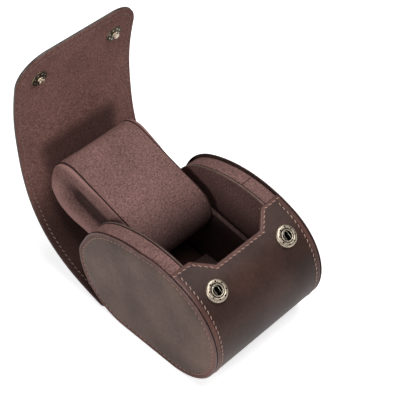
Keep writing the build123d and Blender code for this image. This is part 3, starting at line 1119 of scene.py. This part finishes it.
class CASE_OT_cradle(bpy.types.Operator):
    """Cover the cradle's floor and walls with suede"""

    bl_idname = "case.cradle"
    bl_label = "Cradle"

    def execute(self, context):
        for node in ("cradle_floor", "cradle_left_wall", "cradle_right_wall"):
            dress_node(node, "cradle_suede")
            soften_edges(node, 0.0008)
        return {"FINISHED"}


def flap_half_at(along):
    """Half width of the flap, which widens where it clears the round ends."""
    low, high = FLAP_WIDEN
    return FLAP_NARROW_HALF + (FLAP_HALF - FLAP_NARROW_HALF) * eased((along - low) / (high - low))


def flap_rim_shade(across, along):
    """How much painted shade darkens the suede along its cut edge, at this place on the flat drawing of the
    flap.
    """
    end, side = FLAP_LENGTH - along, flap_half_at(along) - abs(across)
    if end < FLAP_CORNER and side < FLAP_CORNER:
        edge = FLAP_CORNER - math.hypot(FLAP_CORNER - end, FLAP_CORNER - side)
    else:
        edge = min(end, side)
    return RIM_SHADE * max(0.0, 1 - edge / RIM_SHADE_RUN)


def flap_shade(across, along):
    """How much painted shade darkens the flap's suede: towards the fold, and as a painted shadow around the
    pillow.
    """
    clear = math.hypot(max(0.0, abs(across) - PILLOW_SHADOW_HALF), max(0.0, along - PILLOW_SHADOW_END))
    rub = max(0.0, 1 - clear / PILLOW_SHADOW_RUN) * min(1.0, max(0.0, (along - PILLOW_SHADOW_START) / PILLOW_SHADOW_START_RUN))
    return max(FOLD_SHADE_DEPTH * eased((FOLD_SHADE_END - along) / FOLD_SHADE_RUN), PILLOW_SHADOW_DEPTH * eased(rub))


def flap_outline(inset=0.0):
    """The flap's outline on the flat drawing, from the right end of the fold round to the left one."""
    reach, radius = FLAP_LENGTH - FLAP_CORNER, FLAP_CORNER - inset
    right = [(flap_half_at(s) - inset, s) for s in np.arange(0, reach, FLAP_EDGE_STEP)]
    for turn in np.radians(np.linspace(0, 90, FLAP_CORNER_POINTS)):
        right.append((FLAP_HALF - FLAP_CORNER + radius * math.cos(turn), reach + radius * math.sin(turn)))
    return right + [(-x, s) for x, s in reversed(right)]


class CASE_OT_flap(bpy.types.Operator):
    """Make the flap in pieces, one over each joint, with its rows of stitches"""

    bl_idname = "case.flap"
    bl_label = "Flap"

    # The edge's section, as (inset, depth), with a groove between the leather and the suede
    rim = (
        (0.0007, 0), (0.0003, 0.00008), (0.00006, 0.0003), (0, 0.0007), (0.00006, 0.00115),
        (0.00022, 0.0013), (0.00004, 0.0015), (0.00006, 0.0019), (0.0003, 0.0023), (0.0007, FLAP_DEPTH),
    )
    suede_from = 0.0013
    first_stitch = 0.004

    def execute(self, context):
        cuts = self.piece_cuts()
        outline = self.with_cuts(flap_outline(), cuts)
        points, faces, parts, alongs, drawn = hide_panel(
            outline, self.rim, place_on_flap, DRAWING_STEP, cuts, split=self.suede_from,
        )
        whole = new_piece("flap_whole", points, faces, [finish("case_leather")])
        # Each point's normal on the whole flap, and its painted shade
        dressing = [
            (v.normal.copy(), max(flap_shade(*place), flap_rim_shade(*place)))
            for v, place in zip(whole.data.vertices, drawn)
        ]
        bpy.data.objects.remove(whole)
        materials = [finish("case_leather"), finish("flap_edge"), finish("flap_suede")]
        self.cut_up("flap_cover", points, faces, parts, alongs, materials, cuts, dressing)

        row = flap_outline(context.scene.case_sizes.stitch_margin)
        line = [p for p in row if p[1] > self.first_stitch]
        for label, depth, look in (("outer", 0.0, "thread"), ("inner", FLAP_DEPTH, "rubbed_thread")):
            points, faces, alongs = stitch_row(f"flap_{label}", line, place_on_flap, depth)
            self.cut_up(f"flap_{label}_stitches", points, faces, None, alongs, [finish(look)], cuts)
        return {"FINISHED"}

    def piece_cuts(self):
        """Where one piece ends and the next starts: the middle of each segment but the ends."""
        return [(a + b) / 2 for a, b in zip(FLAP_JOINTS[1:-2], FLAP_JOINTS[2:-1])]

    def with_cuts(self, outline, cuts):
        """The outline with a point on it at every cut."""
        dense = []
        for here, there in zip(outline, outline[1:] + outline[:1]):
            dense.append(here)
            between = [c for c in cuts if min(here[1], there[1]) < c < max(here[1], there[1])]
            if there[1] < here[1]:
                between.reverse()
            dense += [
                (here[0] + (there[0] - here[0]) * (c - here[1]) / (there[1] - here[1]), c) for c in between
            ]
        return dense

    def cut_up(self, name, points, faces, parts, alongs, materials, cuts, dressing=None):
        """Make one piece for each joint from the faces that lie over it.

        dressing holds the whole flap's normal and the painted shade on the suede at each point.
        """
        limits = [-1.0, *cuts, 1.0]
        for joint in range(1, len(FLAP_BODIES)):
            low, high = limits[joint - 1], limits[joint]
            chosen = [k for k, along in enumerate(alongs) if low <= along < high]
            used = sorted({i for k in chosen for i in faces[k]})
            number = {old: new for new, old in enumerate(used)}
            piece = new_piece(
                f"{name}_{joint}", [points[i] for i in used],
                [tuple(number[i] for i in faces[k]) for k in chosen], materials,
                None if parts is None else [parts[k] for k in chosen],
            )
            if dressing is not None:
                piece.data.normals_split_custom_set_from_vertices([dressing[i][0] for i in used])
                hollow = piece.data.attributes.new("hollow", "FLOAT", "POINT")
                hollow.data.foreach_set("value", [dressing[i][1] for i in used])
                nodes = [f"flap_{kind}_{joint + 1}" for kind in ("leather", "lining")]
                if joint == 1:
                    nodes += ["flap_leather_1", "flap_lining_1"]
                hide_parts(*nodes)
            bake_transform(piece)


class CASE_OT_snaps(bpy.types.Operator):
    """Turn the sockets, studs and caps with their dots, and finish the springs"""

    bl_idname = "case.snaps"
    bl_label = "Snaps"

    # Sections as (radius, height), with the number of the finish of each band between two points
    socket_section = (
        (0.0027, -0.0004), (0.0060, -0.0004), (0.0061, 0.0002), (0.0061, 0.0010), (0.0060, 0.0013),
        (0.0057, 0.0017), (0.0052, 0.00195), (0.0044, 0.0020), (0.0039, 0.00195), (0.0037, 0.0018),
        (0.0035, 0.0018), (0.0034, 0.0021), (0.0032, 0.00228), (0.0029, 0.00228), (0.0027, 0.0020),
        (0.0027, 0.0017), (0.0030, 0.0017), (0.0030, 0.0012), (0.0027, 0.0011), (0.0027, 0.00015),
        (0.0001, 0.00015),
    )
    socket_bands = (0, 0, 0, 0, 0, 0, 0, 0, 1, 1, 1, 0, 0, 0, 1, 1, 1, 1, 1, 1)
    stud_section = (
        (0.0001, -0.0001), (0.0049, -0.0001), (0.0050, 0.0002), (0.0048, 0.00045), (0.0043, 0.0006),
        (0.0036, 0.00055), (0.0030, 0.0006), (0.0024, 0.00085), (0.0017, 0.0009), (0.0012, 0.0010),
        (0.0011, 0.0014), (0.0012, 0.0018), (0.0016, 0.0021), (0.0018, 0.00235), (0.0016, 0.00265),
        (0.0011, 0.0028), (0.0005, 0.00286), (0.0001, 0.00286),
    )
    stud_bands = (1, 1, 1, 0, 0, 0, 0, 0, 2, 2, 2, 2, 2, 2, 2, 2, 2)
    # The cap: its stem through the flap, then its crown, with heights above the leather face
    cap_stem = ((0.0001, 0.0), (0.0010, 0.0), (0.0010, -FLAP_DEPTH))
    cap_crown = (
        (0.0052, 0), (0.0054, 0.0003), (0.0053, 0.0006), (0.0048, 0.00105), (0.0040, 0.0014),
        (0.0028, 0.00163), (0.0014, 0.0017), (0.0001, 0.00172),
    )
    # Dots on a snap's face: the radius of their ring, its height and each dot's radius
    socket_dots, stud_dots = (0.00465, 0.00200, 0.00046), (0.0034, 0.00060, 0.00048)
    # A dot's own rings, as (share of its radius, height)
    dot_count, dot_sides = 8, 10
    dot_rings = ((1.0, 0.0), (0.83, 0.00005), (0.02, 0.00006))

    def execute(self, context):
        cap_section = [*self.cap_stem, *((radius, -FLAP_DEPTH - rise) for radius, rise in self.cap_crown)]
        for name, side in SIDES:
            seat = socket_frame(side)
            # Its groove and bore take near-black metal as painted shade, as does the post below
            socket = turned_piece(
                f"{name}_socket_ring", self.socket_section, seat,
                [finish("socket_metal"), finish("bore_metal")], self.socket_bands,
            )
            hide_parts(f"{name}_socket")
            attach(socket, "case")
            dots = self.dots(f"{name}_socket_dots", seat, *self.socket_dots, "bore_metal")
            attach(dots, "case")
            dress_node(f"{name}_socket_spring", "spring_steel")
            dress_node(f"{name}_socket_post", "bore_metal")

            seat = stud_frame(side)
            stud = turned_piece(
                f"{name}_stud_turned", self.stud_section, seat,
                [finish("dark_metal"), finish("stud_metal"), finish("ball_metal")], self.stud_bands,
            )
            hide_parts(f"{name}_stud")
            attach(stud, "flap_tab")
            dots = self.dots(f"{name}_stud_dots", seat, *self.stud_dots, "ball_metal")
            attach(dots, "flap_tab")

            cap = turned_piece(f"{name}_cap_turned", cap_section, seat, [finish("stud_metal")])
            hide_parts(f"{name}_stud_cap")
            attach(cap, "flap_tab")
        return {"FINISHED"}

    def dots(self, name, seat, ring, level, radius, look):
        """Small raised dots in a ring on a snap."""
        points, faces = [], []
        for k in range(self.dot_count):
            angle = math.tau * (k + 0.5) / self.dot_count
            centre = Vector((ring * math.cos(angle), ring * math.sin(angle), level))
            dot, dot_faces, _ = loft([
                [seat @ (centre + Vector(p)) for p in circle(radius * share, height, self.dot_sides)]
                for share, height in self.dot_rings
            ], (False, False))
            join(points, faces, dot, dot_faces)
        return new_piece(name, points, faces, [finish(look)])


def pillow_loop(inset, count):
    """Even points (along, up) of the pillow's side view, drawn in, from its upper back corner on."""
    dense = []
    for side, level, corner, first in (
        (1, 1, PILLOW_TOP_CORNER, 0), (-1, 1, PILLOW_TOP_CORNER, 90),
        (-1, -1, PILLOW_LOW_CORNER, 180), (1, -1, PILLOW_LOW_CORNER, 270),
    ):
        along, up = side * (PILLOW_LENGTH / 2 - corner), level * (PILLOW_DEPTH / 2 - corner)
        for turn in np.radians(np.linspace(first, first + 90, PILLOW_CORNER_POINTS)):
            dense.append((
                along + (corner - inset) * math.cos(turn), up + (corner - inset) * math.sin(turn),
            ))
    dense = np.array([*dense, dense[0]])
    run = np.concatenate([[0], np.cumsum(np.hypot(*np.diff(dense, axis=0).T))])
    places = np.linspace(0, run[-1], count, endpoint=False)
    return np.stack([np.interp(places, run, dense[:, 0]), np.interp(places, run, dense[:, 1])], axis=1)


class CASE_OT_pillow(bpy.types.Operator):
    """Inflate the stuffed suede pillow, with its end seams and sunken channels"""

    bl_idname = "case.pillow"
    bl_label = "Pillow"

    # Rows of points run round the pillow. Out from the middle, the band ends at the seam, and the end
    # panel runs in from there to the floor of its channel.
    around = 132
    seam_x, channel_x, channel_lip = 0.0234, 0.0210, 0.0008
    # The channel's floor, as shares of its width and how far out they lie, and the panel, as shares
    # of the way from the channel to the seam
    floor_rows = ((0.35, 0.0), (0.7, 0.0003))
    panel_rows = (0.0, 0.1, 0.2, 0.3, 0.4, 0.5, 0.6, 0.7, 0.8, 0.88, 0.94, 0.975, 1.0)
    band_rows, band_end = 25, 0.0022
    rows_by_seam = (0.0009, 0.0004)
    band_size = 0.994
    # Where the panel counts as its back and as its low part, along and up the side view
    back_from, back_run = -0.004, 0.034
    low_from, low_run = 0.006, -0.012
    # The low seam is tucked up, and the band rounds up to it
    tuck_from, tuck_fall, tuck_height = -0.0035, -0.014, 0.0036
    tuck_run = 0.0045
    # The panel's crest, which is higher at the back. Pairs hold for its high part and its low part.
    crest_height, crest_share, back_crest = (0.0014, 0.0034), (0.85, 0.60), 0.0020
    round_from = 0.6
    # Painted shade in the suede's colour: on the channel's floor, at the seam and on the panel near the
    # channel
    floor_shade, seam_shade = 0.80, 0.95
    panel_shade, panel_shade_run = (0.70, 0.76), (0.54, 0.18)
    # Painted shade on the band, growing towards its front
    front_from, front_run, front_wear = -0.014, -0.022, 0.66
    # Painted highlights in the suede's colour: on rows beside the seam, and on the low part of the panel
    rub = {0.975: 0.8, 0.94: 0.45, 0.88: 0.15}
    low_rub, low_rub_at, low_rub_run = 0.95, 0.66, 0.42
    # The cloth is blown up at a larger scale, where it is stable
    sim_scale, sim_frames, sim_quality, sim_pressure = 8.0, 12, 5, 4.0
    swell_limit, sink_limit = 0.0012, 0.0002
    centre_share = 0.5
    seam_sunk = 0.00075
    lumps = ((85.0, 0.00030), (240.0, 0.00009))
    # Dark tubes laid in the end seams as painted shade: their radius and their stretch
    welt_radius, welt_size = 0.00036, (1, 1.008, 1.014)
    # How much of its width the pillow keeps in the closed case, and the foam's ends, as (x, inset)
    squeezed = 0.82
    foam_profile = ((0.0197, 0.0042), (0.0195, 0.0030), (0.0187, 0.0020), (0.0172, 0.0016))

    def execute(self, context):
        rows, kinds = self.rows()
        loops = [[(x, along, up) for x, (along, up) in zip(xs, loop)] for xs, loop, _, _ in rows]
        points, faces, _ = loft(loops)
        points = np.array(points)
        kind_of = np.repeat(kinds, self.around)
        points = self.inflate(points, faces, kind_of)
        points = self.settle(points, kind_of)

        placed = Matrix.Translation(PILLOW_CENTRE) @ Matrix.Rotation(math.radians(PILLOW_TILT), 4, "X")
        pillow = new_piece("pillow", [placed @ Vector(p) for p in points], faces, [finish("pillow_suede")])
        # Painted shade on the band's front, with each row's painted shade and painted highlight
        front = eased((points[:, 1] - self.front_from) / self.front_run)
        painted_tone = np.concatenate([np.broadcast_to(painted_tone, self.around) for _, _, painted_tone, _ in rows])
        painted_tone = np.maximum(painted_tone, self.front_wear * front * (kind_of == "band"))
        rubbed = np.concatenate([np.broadcast_to(rub, self.around) for _, _, _, rub in rows])
        for name, values in (("hollow", painted_tone), ("rubbed", rubbed)):
            pillow.data.attributes.new(name, "FLOAT", "POINT").data.foreach_set("value", values)
        smooth = pillow.modifiers.new("smooth", "SUBSURF")
        smooth.levels = smooth.render_levels = 1
        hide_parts("pillow_band", "pillow_left_panel", "pillow_right_panel")
        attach(pillow, "pillow")
        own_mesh(pillow)
        self.foam_block(placed)

        # Dark tubes in the end seams, as painted shade
        seams = [row for row, kind in enumerate(kinds) if kind == "seam"]
        for (name, _), row in zip(SIDES, seams):
            ring = points[row * self.around:(row + 1) * self.around] * self.welt_size
            path = [placed @ Vector(p) for p in ring]
            bead = tube_piece(
                f"pillow_{name}_welt", path, self.welt_radius, [finish("seam_shade")], closed=True,
            )
            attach(bead, "pillow")
            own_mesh(bead)
        return {"FINISHED"}

    def foam_block(self, placed):
        """The foam inside the cover, with eased edges."""
        ends = [(-x, inset) for x, inset in self.foam_profile] + [*reversed(self.foam_profile)]
        points, faces, _ = loft([
            [placed @ Vector((x, along, up)) for along, up in pillow_loop(inset, self.around)]
            for x, inset in ends
        ])
        foam = new_piece("pillow_foam_block", points, faces, [finish("foam")])
        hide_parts("pillow_foam")
        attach(foam, "pillow")
        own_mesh(foam)

    def rows(self):
        """Rows of points round the pillow from one channel over the band to the other, and their kinds.

        Each row holds its places along X, its loop in the side view, and its painted shade and painted
        highlight.
        """
        none, full = np.zeros(self.around), np.ones(self.around)
        outer = pillow_loop(0, self.around)
        along, up = outer.T
        spine_half = (CHANNEL_LENGTH - CHANNEL_WIDTH) / 2
        spine = np.stack([np.clip(along, -spine_half, spine_half), none], axis=1)
        away = (outer - spine) / np.linalg.norm(outer - spine, axis=1)[:, None]
        channel = spine + away * CHANNEL_WIDTH / 2
        back = eased((along - self.back_from) / self.back_run)
        low = np.clip((up - self.low_from) / self.low_run, 0, 1)
        lift = self.tuck_height * np.clip((up - self.tuck_from) / self.tuck_fall, 0, 1)
        tuck = np.stack([none, lift], axis=1)
        crest = between(self.crest_height, low) + self.back_crest * back
        drop = self.channel_x + self.channel_lip - self.seam_x

        panel, panel_kinds = [], []
        for share, rise in self.floor_rows:
            loop = spine + (channel - spine) * share
            panel.append(((self.channel_x + rise) * full, loop, self.floor_shade, 0.0))
            panel_kinds.append("floor")
        for share in self.panel_rows:
            climb = 0.5 - 0.5 * np.cos(np.pi * np.minimum(1, share / between(self.crest_share, low)))
            past = max(0, (share - self.round_from) / (1 - self.round_from))
            xs = self.seam_x + drop * (1 - climb) + crest * climb * math.sqrt(max(0, 1 - past ** 4))
            near = np.maximum(0, 1 - share / between(self.panel_shade_run, low))
            painted_tone = self.seam_shade if share == 1 else between(self.panel_shade, low) * near
            rub = self.low_rub * low * max(0, 1 - abs(share - self.low_rub_at) / self.low_rub_run)
            loop = channel + (outer + tuck - channel) * share
            panel.append((xs, loop, painted_tone, self.rub.get(share, 0) + rub))
            panel_kinds.append("seam" if share == 1 else "panel")

        half = self.seam_x - self.band_end
        band = [*np.linspace(-half, half, self.band_rows)]
        band += [side * (self.seam_x - step) for side in (-1, 1) for step in self.rows_by_seam]
        rows = [(-xs, loop, painted_tone, rub) for xs, loop, painted_tone, rub in panel]
        for x in sorted(band):
            turn = min(1.0, max(0.0, (abs(x) - self.seam_x) / self.tuck_run + 1))
            loop = outer * self.band_size + tuck * (1 - math.sqrt(1 - turn * turn))
            rows.append((x * full, loop, 0.0, 0.0))
        rows += panel[::-1]
        return rows, panel_kinds + ["band"] * len(band) + panel_kinds[::-1]

    def inflate(self, points, faces, kind_of):
        """Blow the cover up as cloth, pinned along its seams and channels, and give its new points."""
        dummy = new_piece("pillow_cloth", points * self.sim_scale, faces, [])
        pins = dummy.vertex_groups.new(name="pins")
        pins.add(np.flatnonzero(np.isin(kind_of, ("seam", "floor"))).tolist(), 1.0, "REPLACE")
        cloth = dummy.modifiers.new("cloth", "CLOTH")
        cloth.settings.quality = self.sim_quality
        cloth.settings.use_pressure = True
        cloth.settings.uniform_pressure_force = self.sim_pressure
        cloth.settings.effector_weights.gravity = 0
        cloth.settings.vertex_group_mass = "pins"
        scene = bpy.context.scene
        for number in range(1, self.sim_frames + 1):
            scene.frame_set(number)
        moved = dummy.evaluated_get(bpy.context.evaluated_depsgraph_get()).data
        blown = np.empty(len(moved.vertices) * 3)
        moved.vertices.foreach_get("co", blown)
        bpy.data.objects.remove(dummy)
        scene.frame_set(1)

        swell = blown.reshape(-1, 3) / self.sim_scale - points
        outward = -self.inward(points)
        sunk = np.minimum(0, (swell[:, 1:] * outward).sum(axis=1) + self.sink_limit) * (kind_of == "band")
        swell[:, 1:] -= sunk[:, None] * outward
        reach = np.linalg.norm(swell, axis=1)
        return points + swell * (np.minimum(reach, self.swell_limit) / np.maximum(reach, 1e-9))[:, None]

    def inward(self, points):
        """Directions from the cover towards the pillow's middle, in its side view."""
        middle = np.stack([points[:, 1] * self.centre_share, np.zeros(len(points))], axis=1)
        inward = middle - points[:, 1:]
        return inward / np.maximum(np.linalg.norm(inward, axis=1), 1e-9)[:, None]

    def settle(self, points, kind_of):
        """Sink the seams, and give the cover the slow unevenness of stuffing."""
        points = points.copy()
        seams = kind_of == "seam"
        inward = self.inward(points)
        points[seams, 1:] += inward[seams] * self.seam_sunk
        for i in np.flatnonzero(~seams):
            here = Vector(points[i])
            lump = sum(noise.noise(here * scale) * height for scale, height in self.lumps)
            if kind_of[i] == "band":
                points[i, 1:] -= inward[i] * lump
            else:
                points[i, 0] += math.copysign(lump, here.x)
        return points


class CASE_PT_panel(bpy.types.Panel):
    """Shows the case's sizes, colours and pieces in the sidebar"""

    bl_label = "Watch travel case"
    bl_idname = "CASE_PT_panel"
    bl_space_type = "VIEW_3D"
    bl_region_type = "UI"
    bl_category = "Case"

    def draw(self, context):
        for group in (context.scene.case_sizes, context.scene.case_colours):
            for name in group.__annotations__:
                self.layout.prop(group, name)
        for operator in OPERATORS:
            self.layout.operator(operator.bl_idname)


OPERATORS = (
    CASE_OT_stage,
    CASE_OT_round_ends,
    CASE_OT_body_strip,
    CASE_OT_cradle,
    CASE_OT_flap,
    CASE_OT_snaps,
    CASE_OT_pillow,
)
CLASSES = (CaseSizes, CaseColours, *OPERATORS, CASE_PT_panel)


def register():
    """Add the case's classes and its settings to Blender."""
    for item in CLASSES:
        bpy.utils.register_class(item)
    bpy.types.Scene.case_sizes = bpy.props.PointerProperty(type=CaseSizes)
    bpy.types.Scene.case_colours = bpy.props.PointerProperty(type=CaseColours)


def unregister():
    """Take them out again."""
    del bpy.types.Scene.case_colours
    del bpy.types.Scene.case_sizes
    for item in reversed(CLASSES):
        bpy.utils.unregister_class(item)


def main():
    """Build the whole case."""
    register()
    for operator in OPERATORS:
        category, name = operator.bl_idname.split(".")
        getattr(getattr(bpy.ops, category), name)()


if __name__ == "__main__":
    main()
